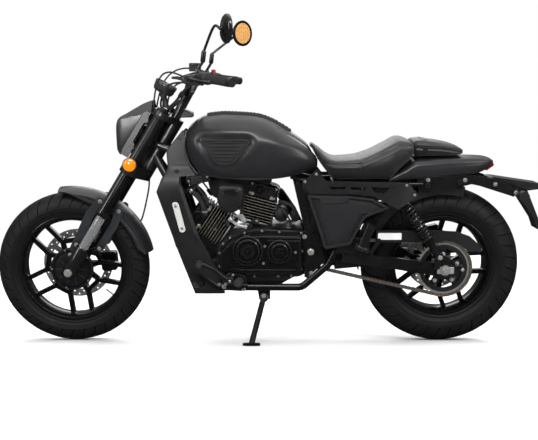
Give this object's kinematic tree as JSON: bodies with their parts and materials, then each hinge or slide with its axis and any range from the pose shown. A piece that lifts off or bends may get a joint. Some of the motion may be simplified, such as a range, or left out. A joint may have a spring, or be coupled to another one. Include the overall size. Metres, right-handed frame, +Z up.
{
  "type": "cruiser motorcycle",
  "caption": "Middleweight V-twin cruiser motorcycle with cast wheels, chain drive and twin rear shocks, leaning on its side stand.",
  "frame": {"origin": "middle of the footprint of the bounding box, on the floor", "axes": "+X runs rearwards along the motorcycle, +Y to its right, +Z up from the floor; the motorcycle leans to its left about X"},
  "size_m": [2.121, 0.7822, 1.2955],
  "materials": {
    "tyre": "matt",
    "cast_wheel": "satin",
    "brake_steel": "ground",
    "fork_casting": "satin",
    "chromed_tube": "polished",
    "fork_tube": "satin",
    "frame_paint": "satin",
    "body_paint": "matt",
    "lamp_glass": "clear",
    "amber_lens": "clear",
    "red_lens": "clear",
    "dark_plastic": "grained",
    "soft_rubber": "matt",
    "caliper_paint": "satin",
    "engine_metal": "powder coated",
    "radiator_metal": "matt",
    "seat_cover": "grained",
    "steel": "plated",
    "exhaust_steel": "heat-proof matt"
  },
  "bodies": {
    "chassis": {"frame_spine": "frame_paint", "frame_left_cradle": "frame_paint", "frame_right_cradle": "frame_paint", "pivot_plates": "frame_paint", "subframe": "frame_paint", "crankcase": "engine_metal", "engine_covers": "engine_metal", "front_cylinder": "engine_metal", "rear_cylinder": "engine_metal", "intake_covers": "dark_plastic", "radiator": "radiator_metal", "radiator_shrouds": "dark_plastic", "fuel_tank": "body_paint", "tank_trim": "soft_rubber", "rider_seat": "seat_cover", "pillion_seat": "seat_cover", "tail_cowl": "body_paint", "tail_lamp": "red_lens", "tail_brackets": "frame_paint", "rack_bosses": "steel", "belt_covers": "dark_plastic", "side_panels": "dark_plastic", "rear_fender": "dark_plastic", "plate_carrier": "dark_plastic", "swingarm": "frame_paint", "rear_shocks": "steel", "rear_axle": "steel", "rear_caliper": "caliper_paint", "chain": "steel", "chain_guard": "dark_plastic", "exhaust": "exhaust_steel", "rider_footrests": "frame_paint", "passenger_peg_brackets": "engine_metal"},
    "front_wheel": {"front_tyre": "tyre", "front_wheel_casting": "cast_wheel", "front_brake_disc": "brake_steel"},
    "steering": {"fork_bottoms": "fork_casting", "fork_inner_tubes": "chromed_tube", "fork_outer_tubes": "fork_tube", "fork_yokes": "frame_paint", "front_fender": "body_paint", "fender_stays": "frame_paint", "headlight_cowl": "body_paint", "headlamp": "lamp_glass", "headlamp_brackets": "fork_casting", "front_indicators": "amber_lens", "instrument_gauge": "dark_plastic", "handlebar": "frame_paint", "grips": "soft_rubber", "hand_controls": "dark_plastic", "mirrors": "dark_plastic", "front_caliper": "caliper_paint", "control_cables": "soft_rubber"},
    "rear_wheel": {"rear_tyre": "tyre", "rear_wheel_casting": "cast_wheel", "rear_brake_disc": "brake_steel", "rear_sprocket": "steel"},
    "side_stand": {"side_stand": "frame_paint"},
    "left_passenger_peg": {"left_passenger_peg": "engine_metal"},
    "right_passenger_peg": {"right_passenger_peg": "engine_metal"}
  },
  "joints": [
    {"name": "steering_turn", "type": "hinge", "parent": "chassis", "child": "steering", "pos_m": [-0.41259, 0.04566, 0.76213], "axis": [0.5225, -0.1583, 0.8378], "range_deg": [-35, 35]},
    {"name": "front_wheel_spin", "type": "hinge", "parent": "steering", "child": "front_wheel", "pos_m": [-0.7635, 0.13421, 0.29349], "axis": [0, 0.9826, 0.1857], "continuous": true},
    {"name": "rear_wheel_spin", "type": "hinge", "parent": "chassis", "child": "rear_wheel", "pos_m": [0.6765, 0.13198, 0.30528], "axis": [0, 0.9826, 0.1857], "continuous": true},
    {"name": "side_stand_fold", "type": "hinge", "parent": "chassis", "child": "side_stand", "pos_m": [-0.0145, 0.02982, 0.1781], "axis": [0, -0.9377, 0.3474], "range_deg": [0, 95]},
    {"name": "left_peg_fold", "type": "hinge", "parent": "chassis", "child": "left_passenger_peg", "pos_m": [0.3545, -0.03783, 0.36377], "axis": [0.9326, 0.067, -0.3547], "range_deg": [0, 90]},
    {"name": "right_peg_fold", "type": "hinge", "parent": "chassis", "child": "right_passenger_peg", "pos_m": [0.3545, 0.26874, 0.4217], "axis": [-0.9326, -0.067, 0.3547], "range_deg": [0, 90]}
  ]
}
